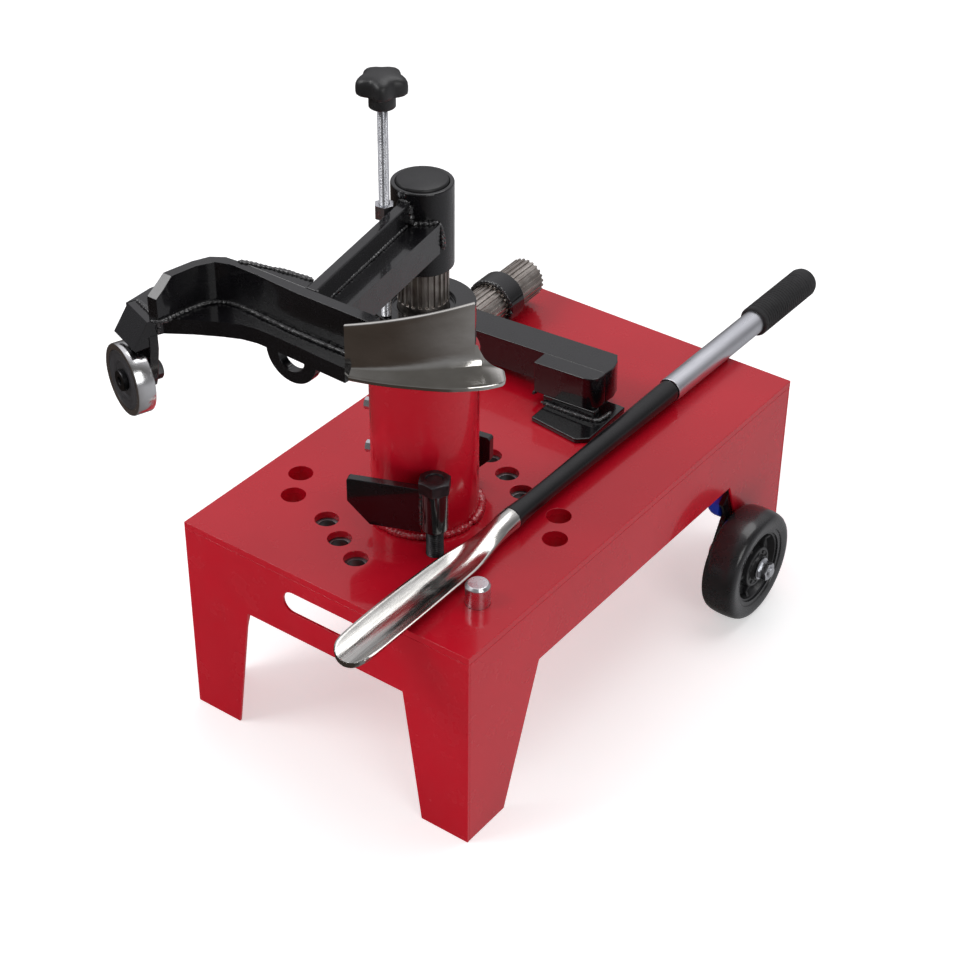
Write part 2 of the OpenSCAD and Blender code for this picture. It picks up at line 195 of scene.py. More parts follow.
RED = mat_red()
BLK = mat_black()
BLKB = mat_black("black_brushed_paint", (0.25, 0.5), 0.5, 0.22)
BWELD = mat_weld("black_weld", (0.008, 0.008, 0.009, 1), (0.03, 0.029, 0.03, 1))
RWELD = mat_weld("red_weld", (0.42, 0.004, 0.016, 1), (0.62, 0.012, 0.03, 1), (0.12, 0.3))
ZINC = mat_metal("zinc_plate", (0.62, 0.63, 0.66, 1), (0.80, 0.81, 0.84, 1), (0.20, 0.38), 55, (1, 1, 1), 0.06)
ZTUBE = mat_metal("zinc_tube", (0.66, 0.67, 0.71, 1), (0.80, 0.81, 0.85, 1), (0.26, 0.42), 28, (3, 0.35, 3), 0.05)
# weld-nut metal: its base colour is darkened beyond plain zinc as painted shade, standing in for the shade inside the
# bench under the holes
NUT_SHADE_M = mat_metal("nut_plate_painted_shade", (0.12, 0.12, 0.125, 1), (0.30, 0.30, 0.31, 1), (0.38, 0.55), 70, (1, 1, 1), 0.12)
POL = mat_metal("polished_steel", (0.50, 0.49, 0.465, 1), (0.70, 0.69, 0.66, 1), (0.13, 0.27), 60, (5.0, 0.35, 5.0), 0.10, 120)
POLD = mat_metal("polished_duckhead", (0.70, 0.675, 0.63, 1), (0.86, 0.84, 0.80, 1), (0.08, 0.18), 26, (1.0, 1.0, 2.2), 0.06, 110)
SPL = mat_metal("machined_splines", (0.30, 0.265, 0.24, 1), (0.50, 0.465, 0.43, 1), (0.28, 0.50), 70, (1, 1, 1), 0.25, 500)
RACE = mat_metal("ground_race", (0.74, 0.74, 0.75, 1), (0.86, 0.86, 0.87, 1), (0.12, 0.24), 60, (1, 1, 1), 0.03, 600)
OXIDE = mat_metal("black_oxide", (0.03, 0.03, 0.033, 1), (0.07, 0.068, 0.07, 1), (0.32, 0.50), 80, (1, 1, 1), 0.15, 700)
CAPM = mat_plastic("black_cap", (0.014, 0.014, 0.015, 1), (0.022, 0.022, 0.023, 1), (0.36, 0.50), 0.10, 1200)
KNOBM = mat_plastic("knob_moulding", (0.014, 0.014, 0.015, 1), (0.024, 0.024, 0.025, 1), (0.30, 0.45), 0.22, 900)
HUBM = mat_plastic("hub_moulding", (0.012, 0.012, 0.013, 1), (0.022, 0.022, 0.023, 1), (0.28, 0.42), 0.08, 600, 0.2)
TYREM = mat_plastic("tyre_rubber", (0.012, 0.012, 0.013, 1), (0.024, 0.024, 0.026, 1), (0.20, 0.36), 0.06, 500, 0.35)
SEALM = mat_plastic("bearing_seal", (0.035, 0.034, 0.037, 1), (0.055, 0.053, 0.057, 1), (0.34, 0.48), 0.08, 900)
GRIPM = mat_plastic("foam_grip", (0.016, 0.016, 0.017, 1), (0.032, 0.031, 0.033, 1), (0.70, 0.90), 0.60, 1500)
BLUEM = mat_plastic("blue_moulding", (0.006, 0.030, 0.40, 1), (0.010, 0.045, 0.52, 1), (0.15, 0.25), 0.03, 400, 0.8)


# ---------------------------------------------------------------- mesh tools
def put(name, verts, faces, mat, body, repl=(), smooth=True, angle=35.0, mats=None, fmat=None):
    """verts in mm in the bench frame (before OFF)."""
    me = bpy.data.meshes.new(name)
    V = (np.asarray(verts, float) + OFF) / 1000.0
    me.from_pydata([tuple(v) for v in V], [], [tuple(int(i) for i in f) for f in faces])
    me.validate()
    ob = bpy.data.objects.new(name, me)
    bpy.context.scene.collection.objects.link(ob)
    for m in (mats or [mat]):
        me.materials.append(m)
    if fmat is not None:
        for p, k in zip(me.polygons, fmat):
            p.material_index = k
    finish_mesh(ob, smooth, angle)
    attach(ob, body)
    if repl:
        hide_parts(*repl)
    return ob


def finish_mesh(ob, smooth=True, angle=35.0):
    me = ob.data
    bm = bmesh.new()
    bm.from_mesh(me)
    bmesh.ops.remove_doubles(bm, verts=bm.verts, dist=1e-6)
    bmesh.ops.recalc_face_normals(bm, faces=bm.faces)
    if smooth:
        lim = math.radians(angle)
        for f in bm.faces:
            f.smooth = True
        for e in bm.edges:
            e.smooth = not (len(e.link_faces) != 2 or e.calc_face_angle(0.0) > lim)
    bm.to_mesh(me)
    bm.free()


def revolve(profile, n=72):
    """profile [(r, z)...]; returns verts, faces about local +Z. r=0 ends close."""
    V, F, idx = [], [], []
    for r, z in profile:
        if r < 1e-6:
            idx.append([len(V)] * n)
            V.append((0, 0, z))
        else:
            idx.append(list(range(len(V), len(V) + n)))
            for i in range(n):
                a = 2 * math.pi * i / n
                V.append((r * math.cos(a), r * math.sin(a), z))
    for k in range(len(profile) - 1):
        A, B = idx[k], idx[k + 1]
        for i in range(n):
            j = (i + 1) % n
            q = []
            for t in (A[i], A[j], B[j], B[i]):
                if t not in q:
                    q.append(t)
            if len(q) > 2:
                F.append(q)
    return np.array(V, float), F


def xf(V, loc=(0, 0, 0), zdir=None, xdir=None):
    V = np.asarray(V, float)
    if zdir is not None:
        z = np.array(zdir, float); z /= np.linalg.norm(z)
        x = np.array(xdir if xdir is not None else ((1, 0, 0) if abs(z[0]) < 0.9 else (0, 1, 0)), float)
        x -= z * (x @ z); x /= np.linalg.norm(x)
        y = np.cross(z, x)
        V = V[:, :1] * x + V[:, 1:2] * y + V[:, 2:3] * z
    return V + np.array(loc, float)


def joinm(parts):
    V, F, o = [], [], 0
    for v, f in parts:
        V.append(np.asarray(v, float))
        F += [[i + o for i in q] for q in f]
        o += len(v)
    return np.vstack(V), F


def loft(rings, closed=True, cap=True):
    n = len(rings[0])
    V = np.vstack([np.asarray(r, float) for r in rings])
    F = []
    for k in range(len(rings) - 1):
        for i in range(n if closed else n - 1):
            j = (i + 1) % n
            F.append([k * n + i, k * n + j, (k + 1) * n + j, (k + 1) * n + i])
    if cap:
        F.append(list(range(n))[::-1])
        F.append([(len(rings) - 1) * n + i for i in range(n)])
    return V, F


def tube(path, rad, n=14, cap=True, flat=1.0, up=(0, 0, 1)):
    P = np.asarray(path, float)
    rings = []
    for i, p in enumerate(P):
        t = P[min(i + 1, len(P) - 1)] - P[max(i - 1, 0)]
        t /= np.linalg.norm(t)
        u = np.array(up, float); u -= t * (u @ t)
        if np.linalg.norm(u) < 1e-3:
            u = np.array((1.0, 0.2, 0.1)); u -= t * (u @ t)
        u /= np.linalg.norm(u)
        s = np.cross(t, u)
        r = rad[i] if hasattr(rad, "__len__") else rad
        a = np.linspace(0, 2 * math.pi, n, endpoint=False)
        rings.append(p + r * (np.cos(a)[:, None] * s + flat * np.sin(a)[:, None] * u))
    return loft(rings, True, cap)


def bead(path, r, seed=1, step=1.3, n=12, flat=0.75, up=(0, 0, 1)):
    """A lumpy hand-laid weld bead along a polyline (mm)."""
    P = np.asarray(path, float)
    d = np.r_[0, np.cumsum(np.linalg.norm(np.diff(P, axis=0), axis=1))]
    k = max(6, int(d[-1] / step))
    s = np.linspace(0, d[-1], k)
    Q = np.stack([np.interp(s, d, P[:, c]) for c in range(3)], 1)
    rg = np.random.RandomState(seed)
    ripple = 1 + 0.16 * np.sin(s * 2 * math.pi / 4.6 + rg.rand() * 6) + 0.10 * np.interp(s, np.linspace(0, d[-1], max(3, int(d[-1] / 7))), rg.randn(max(3, int(d[-1] / 7))))
    ends = np.clip(np.minimum(s, d[-1] - s) / (r * 1.2), 0.25, 1)
    rr = r * np.clip(ripple, 0.6, 1.35) * np.sqrt(ends)
    V, F = tube(Q, rr, n, True, flat, up)
    return V + rg.randn(*V.shape) * r * 0.035, F


def refine(node, mat, bev=0.8, seg=2, body=None, name=None, angle=30.0, limit=28.0):
    """A detailed copy of a CAD node: cleaned to true faces, its edges rounded over, smooth shaded."""
    src = NODES[node]
    me = src.data.copy()
    me.name = name or (node + "_piece")
    me.materials.clear()
    me.materials.append(mat)
    bm = bmesh.new()
    bm.from_mesh(me)
    bmesh.ops.remove_doubles(bm, verts=bm.verts, dist=2e-6)
    bmesh.ops.dissolve_limit(bm, angle_limit=math.radians(0.6), verts=bm.verts, edges=bm.edges)
    lim = math.radians(limit)
    if bev > 0:
        ed = [e for e in bm.edges if len(e.link_faces) == 2 and e.calc_face_angle(0.0) > lim]
        try:
            bmesh.ops.bevel(bm, geom=ed, offset=bev / 1000.0, offset_type="OFFSET", segments=seg, profile=0.5,
                            affect="EDGES", clamp_overlap=True, miter_outer="ARC")
        except Exception:
            pass
    bmesh.ops.recalc_face_normals(bm, faces=bm.faces)
    la = math.radians(angle)
    for f in bm.faces:
        f.smooth = True
    for e in bm.edges:
        e.smooth = not (len(e.link_faces) != 2 or e.calc_face_angle(0.0) > la)
    bm.to_mesh(me)
    bm.free()
    ob = bpy.data.objects.new(name or (node + "_piece"), me)
    bpy.context.scene.collection.objects.link(ob)
    w = ob.modifiers.new("wn", "WEIGHTED_NORMAL")
    w.keep_sharp = True
    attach(ob, body or src["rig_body"])
    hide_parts(node)
    return ob


def thread(r, z0, z1, pitch, n=28, depth=None, per=6):
    """A cut screw thread: one helical surface between z0 and z1."""
    depth = depth or pitch * 0.55
    turns = (z1 - z0) / pitch
    m = int(turns * per)
    V, F = [], []
    prof = [0.0, 0.45, 0.95, 1.0, 0.95, 0.45]
    for k in range(m + 1):
        for i in range(n):
            a = 2 * math.pi * i / n
            z = z0 + (k / per) * pitch
            ph = (k / per - i / n) % 1.0
            t = abs(ph * 2 - 1)
            rr = r - depth * min(1.0, max(0.0, (t - 0.10) / 0.80))
            V.append((rr * math.cos(a), rr * math.sin(a), z))
    for k in range(m):
        for i in range(n):
            j = (i + 1) % n
            F.append([k * n + i, k * n + j, (k + 1) * n + j, (k + 1) * n + i])
    F.append(list(range(n))[::-1])
    F.append([m * n + i for i in range(n)])
    return np.array(V, float), F


def hexprism(af, h, cham=1.4, top=True, bottom=False):
    """A hexagon with the turned 30 degree chamfer of a bolt head."""
    rc = af / 2 / math.cos(math.pi / 6)
    n = 72
    rings = []
    def ring(z, rmax):
        out = []
        for i in range(n):
            a = 2 * math.pi * i / n
            k = (a + math.pi / 6) % (math.pi / 3) - math.pi / 6
            r = af / 2 / math.cos(k)
            out.append((min(r, rmax) * math.cos(a), min(r, rmax) * math.sin(a), z))
        return np.array(out)
    def zr(i_z):
        return i_z
    R = []
    base = ring(0, rc + 1)
    def chr_ring(frac, zsign):
        # radius falls from the corner to the face circle, height falls by the chamfer
        rr = []
        for i in range(n):
            a = 2 * math.pi * i / n
            k = (a + math.pi / 6) % (math.pi / 3) - math.pi / 6
            r = af / 2 / math.cos(k)
            drop = (r - af / 2 * 0.955) * math.tan(math.radians(30))
            rr.append((r, drop, a))
        return rr
    cr = chr_ring(1, 1)
    lowv = []
    for r, drop, a in cr:
        lowv.append((r * math.cos(a), r * math.sin(a), drop if bottom else 0.0))
    hiv = []
    for r, drop, a in cr:
        hiv.append((r * math.cos(a), r * math.sin(a), h - drop if top else h))
    inner_t = [(af / 2 * 0.955 * math.cos(a), af / 2 * 0.955 * math.sin(a), h) for _, _, a in cr]
    inner_b = [(af / 2 * 0.955 * math.cos(a), af / 2 * 0.955 * math.sin(a), 0.0) for _, _, a in cr]
    R = [inner_b, lowv, hiv, inner_t]
    return loft([np.array(x) for x in R], True, True)


def col(x, y, z=0.0):
    return np.array([x + AXC[0], y + AXC[1], z])


def smooth_path(P, k=8):
    """Catmull-Rom through points."""
    P = [np.array(p, float) for p in P]
    out = []
    for i in range(len(P) - 1):
        p0, p1, p2, p3 = P[max(i - 1, 0)], P[i], P[i + 1], P[min(i + 2, len(P) - 1)]
        for t in np.linspace(0, 1, k, endpoint=False):
            out.append(0.5 * ((2 * p1) + (-p0 + p2) * t + (2 * p0 - 5 * p1 + 4 * p2 - p3) * t * t + (-p0 + 3 * p1 - 3 * p2 + p3) * t ** 3))
    out.append(P[-1])
    return np.array(out)


# ---------------------------------------------------------------- bench
def hexhead(af, h, rec_r=0.0, rec_d=0.0, n=96):
    """Bolt head with the turned chamfer and an optional round recess on top."""
    ang = [2 * math.pi * i / n for i in range(n)]
    rad = [af / 2 / math.cos((a + math.pi / 6) % (math.pi / 3) - math.pi / 6) for a in ang]
    r0 = af / 2 * 0.95
    drop = [(r - r0) * math.tan(math.radians(28)) for r in rad]
    def ring(rr, zz):
        return np.array([(rr[i] * math.cos(ang[i]), rr[i] * math.sin(ang[i]), zz[i]) for i in range(n)])
    rings = [ring([r * 0.97 for r in rad], [0] * n), ring(rad, [0.5] * n), ring(rad, [h - d for d in drop]), ring([r0] * n, [h] * n)]
    if rec_r:
        rings += [ring([rec_r] * n, [h] * n), ring([rec_r - 0.5] * n, [h - 0.5] * n), ring([rec_r - 0.7] * n, [h - rec_d] * n)]
    return loft(rings, True, True)


def dome_disc(r, h, n=40):
    return revolve([(0, 0), (r, 0), (r, h * 0.45), (r * 0.93, h * 0.75), (r * 0.75, h * 0.93), (r * 0.4, h), (0, h)], n)


bt = refine("bench_top", RED, 2.2, 4)
for n in ("panel_front", "panel_left", "panel_right", "panel_back"):
    refine(n, RED, 0.9, 3)
refine("column_tube", RED, 0.8, 2)
refine("column_collar", BLK, 2.0, 4)
refine("pin_guides", RED, 0.6, 2)
# the weld nuts get the darkened metal whose colour carries painted shade for the holes
refine("weld_nuts", NUT_SHADE_M, 0.8, 2)
refine("wheel_bracket_left", BLK, 0.8, 2)
refine("wheel_bracket_right", BLK, 0.8, 2)
refine("bracket_plugs", BLUEM, 1.2, 3)
parts = []
for z in (300, 352, 396):
    a = math.radians(200)
    d = np.array((math.cos(a), math.sin(a), 0))
    V, F = hexhead(11, 8, 3.2, 2.0)
    parts.append((xf(V, col(0, 0, z) + d * 54.4, d, (0, 0, 1)), F))
V, F = joinm(parts)
put("column_screw_heads", V, F, ZINC, "bench", ("column_screws",))
parts = []
parts2 = []
for s in (1, -1):
    d = np.array((s, 0, 0))
    o = np.array((0.0, 187, 65))
    V, F = hexhead(19, 8.6)
    parts.append((xf(V, o + d * 171.0, -d, (0, 0, 1)), F))
    V, F = thread(6.0, 165, 239.6, 1.75, 28, 0.9)
    parts.append((xf(V, o, d, (0, 0, 1)), F))
    V, F = hexhead(19, 10.0, 6.4, 0.9)
    parts2.append((xf(V, o + d * 227.1, d, (0, 0.3, 1)), F))
    V, F = revolve([(6.1, 225.5), (12.6, 225.5), (13, 225.9), (13, 226.8), (12.6, 227.1), (6.1, 227.1)], 64)
    parts2.append((xf(V, o, d, (0, 0, 1)), F))
V, F = joinm(parts)
put("axle_bolt_pair", V, F, ZINC, "bench", ("axle_bolts",))
V, F = joinm(parts2)
put("axle_nut_pair", V, F, ZINC, "bench", ("axle_nuts",))

TYRE_P = [(42, -18), (46.5, -18.4), (47.2, -19.6), (49.5, -20.2), (53.6, -20.7), (56, -21), (58.6, -20.6), (60.8, -19.4), (62.6, -17.2),
          (63.8, -14), (64.5, -10), (64.9, -5), (65, 0), (64.9, 5), (64.5, 10), (63.8, 14), (62.6, 17.2), (60.8, 19.4), (58.6, 20.6),
          (56, 21), (53.6, 20.7), (49.5, 20.2), (47.2, 19.6), (46.5, 18.4), (42, 18), (42, -18)]
HUB_P = [(6.2, -20.4), (14.2, -20.4), (15, -19.6), (15, -14.5), (22, -12), (33, -8.5), (37, -12), (38.2, -15.8), (42, -15.9), (42, 15.9),
         (40.6, 16.0), (39.4, 15.4), (38.2, 12), (36.4, 7.4), (33, 5.8), (26, 6.4), (24.2, 8), (23.6, 15.9), (22.8, 16.6), (20.5, 16.8),
         (19.8, 16.1), (15.6, 16.1), (15, 17), (14.6, 20), (6.2, 20.3), (6.2, -20.4)]
for s, d in (("left", (-1, 0, 0)), ("right", (1, 0, 0))):
    c = np.array((204.6 * d[0], 187, 65.0))
    V, F = revolve(TYRE_P, 128)
    put("tyre_%s_rubber" % s, xf(V, c, d, (0, 0, 1)), F, TYREM, "wheel_" + s, ("tyre_" + s,))
    parts = [revolve(HUB_P, 112)]
    for k in range(10):
        a = 2 * math.pi * k / 10
        V, F = dome_disc(2.1, 1.5, 20)
        parts.append((xf(V, (18.2 * math.cos(a), 18.2 * math.sin(a), 16.0)), F))
    for k in range(5):
        a = 2 * math.pi * (k + 0.3) / 5
        u = np.array((math.cos(a), math.sin(a), 0)); w_ = np.array((-u[1], u[0], 0))
        rings = []
        for r, hw, z1 in ((24, 2.6, 13.0), (29, 2.2, 11.5), (34, 2.0, 10.5), (39, 2.3, 13.5)):
            rings.append([u * r + w_ * hw + (0, 0, 3), u * r + w_ * hw + (0, 0, z1 - 0.8), u * r + w_ * hw * 0.6 + (0, 0, z1),
                          u * r - w_ * hw * 0.6 + (0, 0, z1), u * r - w_ * hw + (0, 0, z1 - 0.8), u * r - w_ * hw + (0, 0, 3)])
        parts.append(loft([np.array(r) for r in rings]))
    V, F = joinm(parts)
    put("hub_%s_moulding" % s, xf(V, c, d, (0, 0, 1)), F, HUBM, "wheel_" + s, ("hub_" + s,))
a = np.linspace(0, 2 * math.pi, 160)
ringp = [col(57.6 * math.cos(t), 57.6 * math.sin(t), T + 2.6) for t in a]
V, F = bead(ringp, 4.4, 3, 1.6, 14, 0.9)
put("column_weld", V, F, RWELD, "bench", ("column_bead",))

# ---------------------------------------------------------------- clamps
for s, x, y, z, an in (("front", 56.5, -57.5, 269, 202), ("rear", -56.5, 57.5, 251, 9)):
    V1, F1 = hexhead(30, 12.9, 9.2, 1.3)
    V1 = xf(V1, (0, 0, z + 46), (0, 0, 1), (math.cos(math.radians(30)), math.sin(math.radians(30)), 0))
    V2, F2 = thread(9.0, z - 61.8, z + 46.3, 2.5, 40)
    V, F = joinm([(V1, F1), (V2, F2)])
    put("clamp_bolt_%s_steel" % s, V + col(x, y, 0), F, OXIDE, "clamp_bolt_" + s, ("clamp_bolt_" + s,))
    refine("clamp_sleeve_" + s, BLK, 1.2, 3)
    refine("clamp_flag_" + s, BLK, 1.0, 3)
    ca, sa = math.cos(math.radians(an)), math.sin(math.radians(an))
    parts = []
    for k, off in enumerate((4.9, -4.9)):
        path = [col(x + ca * 12.6 - sa * off, y + sa * 12.6 + ca * off, zz) for zz in np.linspace(z + 0.5, z + 44, 12)]
        parts.append(bead(path, 2.3, 11 + k, 1.2, 10, 0.8, (ca, sa, 0)))
    V, F = joinm(parts)
    put("clamp_weld_%s" % s, V, F, BWELD, "clamp_flag_" + s, ())
refine("locating_pin", ZINC, 0.5, 3)

# ---------------------------------------------------------------- arm
refine("splined_shaft", SPL, 0.35, 1)
refine("arm_sleeve", BLK, 1.6, 4)
refine("sleeve_cap", CAPM, 0.5, 2)
for n in ("brace_bar", "brace_tube", "arm_plate", "arm_rib", "arm_gusset", "arm_eye", "roller_bracket", "roller_leg"):
    refine(n, BLK, 1.3, 3)
refine("screw_nut", ZINC, 0.8, 2)

LR, PZL = 246.0, 545.0
EDGE = [(-70, 247.5), (-67.3, 251.0), (-62.8, 253.4), (-57.9, 256.0), (-53.7, 258.4), (-50.5, 260.9), (-47.2, 263.3), (-44.1, 264.2),
        (-41.25, 264.4), (-39.5, 263.9), (-38.1, 262.9), (-37.4, 262.0), (-36.8, 259.8), (-36.4, 256.6), (-36.2, 252.6)]


def edge_r(a):
    return float(np.interp(a, [e[0] for e in EDGE], [e[1] for e in EDGE]))


def lerp_a(a, z0, z1):
    return z0 + (z1 - z0) * (a + 66.0) / 23.5


def lip_pt(f, re, zc):
    """The lip's working surface, from the edge (f=0) to the wall (f=1): a crowned slope that turns up into the wall."""
    r = LR - 0.05 + (re - 1.0 - LR) * (1 - f)
    h = zc - PZL - 5.0
    rise = 0.60 * f + 0.025 * math.sin(math.pi * f) + 0.40 * max(0.0, (f - 0.66) / 0.34) ** 2.0
    return (r, PZL + 5.0 + h * min(1.0, rise))


def pol(r, a, z):
    t = math.radians(a)
    return (r * math.cos(t), r * math.sin(t), z)


rings = []
for a in np.linspace(-67.9, -42.05, 70):
    re, zc, zt = edge_r(a), lerp_a(a, 563.5, 580.0), lerp_a(a, 598.3, 620.0)
    pts = [(LR - 3.9, PZL + 0.3), (re - 0.9, PZL + 0.2), (re - 0.1, PZL + 1.0), (re, PZL + 3.6), (re - 0.5, PZL + 4.6)]
    for f in np.linspace(0, 1, 18):
        pts.append(lip_pt(f, re, zc))
    for q in np.linspace(0.15, 1, 6):
        pts.append((LR - 0.05, zc + (zt - 1.0 - zc) * q))
    pts += [(LR - 0.4, zt - 0.25), (LR - 1.2, zt), (LR - 2.8, zt), (LR - 3.6, zt - 0.25), (LR - 3.95, zt - 1.0)]
    rings.append(np.array([pol(r, a, z) for r, z in pts]))
P1 = loft(rings)
rings = []
for a in np.linspace(-42.4, -36.25, 44):
    re = edge_r(a)
    ri = float(np.interp(a, [-42.4, -41.9, -41.2, -40.2, -39, -37.8, -36.25], [242.2, 243.8, 246.3, 248.0, 249.2, 250.0, 250.6]))
    pts = [(ri + 0.6, PZL + 0.3), (re - 0.9, PZL + 0.2), (re - 0.1, PZL + 1.0), (re, PZL + 3.6), (re - 0.5, PZL + 4.6)]
    f1 = min(1.0, max(0.02, 1 - (max(ri + 0.6, LR + 0.05) - LR) / max(re - 1.0 - LR, 1.0)))
    top = 0.0
    for f in np.linspace(0, f1, 16):
        fade = 1.0 - max(0.0, (a + 41.0) / 4.75) * 0.60
        r, top = lip_pt(f, re, PZL + 5.0 + (580.0 - PZL - 5.0) * fade)
        pts.append((r, top))
    pts += [(ri + 0.1, top - 0.7), (ri, top - 1.8)]
    rings.append(np.array([pol(r, a, z) for r, z in pts]))
P2 = loft(rings)
V, F = joinm([P1, P2])
put("duckhead_steel", V + col(0, 0, 0), F, POLD, "arm", ("duckhead",), angle=40)

beads = [
    ([(100, -216.5, 561.2), (30, -216.5, 561.2), (-18, -213.5, 561.2), (-46, -213, 561.2), (-61, -219, 561.2), (-69, -232, 561.2), (-73.5, -255, 561.2), (-76.5, -274, 561.2), (-84, -278, 561.2)], 2.7),
    ([(31.5, -203.8, 562), (30.9, -202.2, 581), (30.8, -202.2, 600)], 2.7),
    ([(42.6, -202, 600.6), (40.5, -202.4, 590), (43, -202.3, 582)], 2.7),
    ([(43, -202.2, 580.6), (54, -202.6, 580.8), (64, -202.3, 580.4), (64.4, -202.3, 566)], 2.9),
    ([(-3.2, -29.9, 601.2), (2, -30.6, 601.4), (8.4, -29.0, 601.0)], 2.9),
    ([(8.2, -29.4, 599), (9.0, -29.6, 590), (10.0, -29.3, 581.5), (17, -25.2, 581.0), (24, -19.4, 580.8), (28, -13.2, 580.6)], 3.3),
    ([(28.6, -11.6, 580), (29.8, -9.6, 566), (30.2, -8.4, 551)], 3.0),
    ([(-4.2, -30.0, 600), (-4.4, -30.4, 580), (-4.2, -30.3, 558)], 2.6),
    ([(-46, -204.2, 600.2), (-31, -200, 600.4), (0, -193, 600.4), (28, -190, 600.4)], 2.2),
    ([(8.5, -34, 580.9), (17, -78, 580.9), (27, -132, 580.9), (39, -198, 580.9)], 2.4),
    ([(0, -223, 544.4), (26, -223.6, 544.0), (52, -223, 544.4)], 2.2),
]
parts = []
for k, (path, r) in enumerate(beads):
    parts.append(bead([col(*q) for q in smooth_path(path, 6)], r, 31 + k, 1.3, 12, 0.8))
RN = np.array((0.350, 0.9368)); RT = np.array((0.9368, -0.350)); RO_ = np.array((-105.0, -274.0))


def rf(x, y, z):
    q = RO_ + RT * x + RN * y
    return col(q[0], q[1], z)


for k, (path, r) in enumerate((
    ([(-20, 9.6, 560.4), (-8, 10, 560.8), (8, 10, 560.8), (20, 9.6, 560.4)], 2.5),
    ([(-19.5, -1.2, 544.4), (0, -1.6, 544.2), (19.5, -1.2, 544.4)], 2.5),
    ([(20.4, 9.4, 559.5), (20.6, 9.6, 552), (20.4, 9.4, 546)], 2.2),
    ([(-20.4, 9.4, 559.5), (-20.6, 9.6, 552), (-20.4, 9.4, 546)], 2.2))):
    parts.append(bead([rf(*q) for q in smooth_path(path, 6)], r, 61 + k, 1.3, 12, 0.8))
V, F = joinm(parts)
put("arm_welds", V, F, BWELD, "arm", ())

# the bearing bolt, its nut and washer
nd = np.array((-0.350, -0.9368, 0.0))
o = rf(0, 18, 497)
bp = [revolve([(0, 36.4), (9.2, 36.4), (10, 37.2), (10, 40.6), (9.4, 41.4), (4.3, 41.4), (3.9, 41.0), (3.6, 38.2), (0, 38.0)], 72)]
V, F = hexhead(16, 8)
bp.append((xf(V, (0, 0, 9), (0, 0, -1), (1, 0, 0)), F))
bp.append(revolve([(4.9, 17.95), (8.1, 17.95), (8.5, 18.4), (8.5, 22.9), (4.9, 22.95)], 60))
bp.append(thread(5.0, 0.0, 37.6, 1.5, 28))
V, F = joinm(bp)
put("roller_bolt_steel", xf(V, o, nd, (0, 0, 1)), F, OXIDE, "arm", ("roller_bolt",))
V, F = revolve([(28.2, 21.4), (30.6, 21.1), (32.6, 21.0), (33.6, 21.5), (34, 22.5), (34, 37.5), (33.6, 38.5), (32.6, 39), (30.2, 38.9), (29.4, 38.3), (28.2, 38.1), (28.2, 21.4)], 128)
put("roller_ring", xf(V, o, nd, (0, 0, 1)), F, RACE, "roller", ("roller_race",))
V, F = revolve([(5.1, 23.4), (11.5, 23.4), (11.7, 22.2), (28, 22.2), (28.15, 37.5), (27.2, 38), (26.2, 37.4), (24.6, 36.9), (20.4, 36.9), (19.4, 37.5), (18.2, 37.6), (16.8, 37.1), (15.9, 36.3), (5.1, 36.2), (5.1, 23.4)], 112)
put("roller_seals", xf(V, o, nd, (0, 0, 1)), F, SEALM, "roller", ("roller_seal",))

# ---------------------------------------------------------------- height screw
V, F = thread(5.0, 481.6, 713.0, 1.5, 28)
V2, F2 = revolve([(0, 481.1), (3.2, 481.1), (4.2, 482.0)], 28)
V, F = joinm([(V, F), (V2, F2)])
put("height_screw_thread", V + col(-11.5, -42.5, 0), F, ZINC, "height_screw", ("screw_rod",))
n = 150
rings = []
for k, z in ((0.50, 710.6), (0.78, 710.4), (0.92, 711.0), (0.985, 712.6), (1.0, 715.0), (1.0, 719.5), (0.985, 722.6), (0.94, 725.0),
             (0.86, 726.9), (0.74, 728.4), (0.58, 729.6), (0.40, 730.4), (0.22, 730.8), (0.06, 730.95)):
    ring = []
    for i in range(n):
        t = 2 * math.pi * i / n
        r = (21.3 + 3.1 * k * k * math.cos(5 * (t - math.radians(20)))) * k
        ring.append((r * math.cos(t), r * math.sin(t), z))
    rings.append(np.array(ring))
V1, F1 = loft(rings)
V2, F2 = revolve([(5.1, 697.0), (11.6, 697.0), (12.4, 697.8), (12.4, 706.5), (12.1, 708.4), (12.8, 710.6), (14.0, 711.4)], 72)
V, F = joinm([(V1, F1), (V2, F2)])
put("height_knob", V + col(-11.5, -42.5, 0), F, KNOBM, "height_screw", ("screw_knob",), angle=45)

